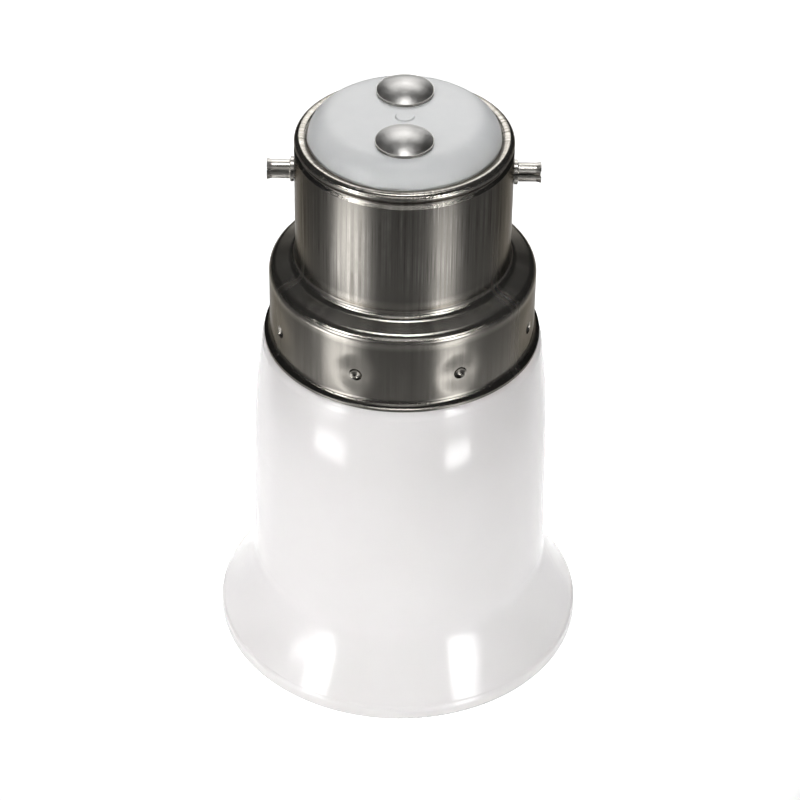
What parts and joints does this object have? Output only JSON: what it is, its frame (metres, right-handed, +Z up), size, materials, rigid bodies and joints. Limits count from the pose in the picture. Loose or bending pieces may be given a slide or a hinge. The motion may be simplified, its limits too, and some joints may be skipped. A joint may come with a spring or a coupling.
{
  "type": "lamp socket adapter",
  "caption": "Lamp socket adapter with a two-pin bayonet cap on top and a screw-lamp socket inside its flared white body.",
  "frame": {"origin": "centre of the flat bottom rim of the flared mouth", "axes": "+Z runs up the axis to the two end contacts; the two bayonet pins lie along X and the two end contacts along Y; -Y is the front"},
  "size_m": [0.0394, 0.0394, 0.065],
  "materials": {
    "white_plastic": "gloss",
    "nickelled_brass": "polished, with drawing lines",
    "pin_brass": "polished",
    "glass_insulator": "gloss",
    "solder": "polished",
    "plain_brass": "satin",
    "rivet_steel": "satin",
    "copper_wire": "satin",
    "wire_cover": "matte"
  },
  "bodies": {
    "root": {"housing": "white_plastic", "cap_shell": "nickelled_brass", "bayonet_pin_left": "pin_brass", "bayonet_pin_right": "pin_brass", "end_insulator": "glass_insulator", "contact_eyelet_front": "plain_brass", "contact_eyelet_rear": "plain_brass", "contact_solder_front": "solder", "contact_solder_rear": "solder", "screw_shell": "plain_brass", "centre_contact": "plain_brass", "shell_rivet_left": "rivet_steel", "shell_rivet_right": "rivet_steel", "centre_rivet": "rivet_steel", "solder_tag_shell": "plain_brass", "solder_tag_centre": "plain_brass", "tag_solder_shell": "solder", "tag_solder_centre": "solder", "wire_core_shell": "copper_wire", "wire_core_centre": "copper_wire", "wire_sleeve_shell": "wire_cover", "wire_sleeve_centre": "wire_cover"}
  },
  "joints": []
}
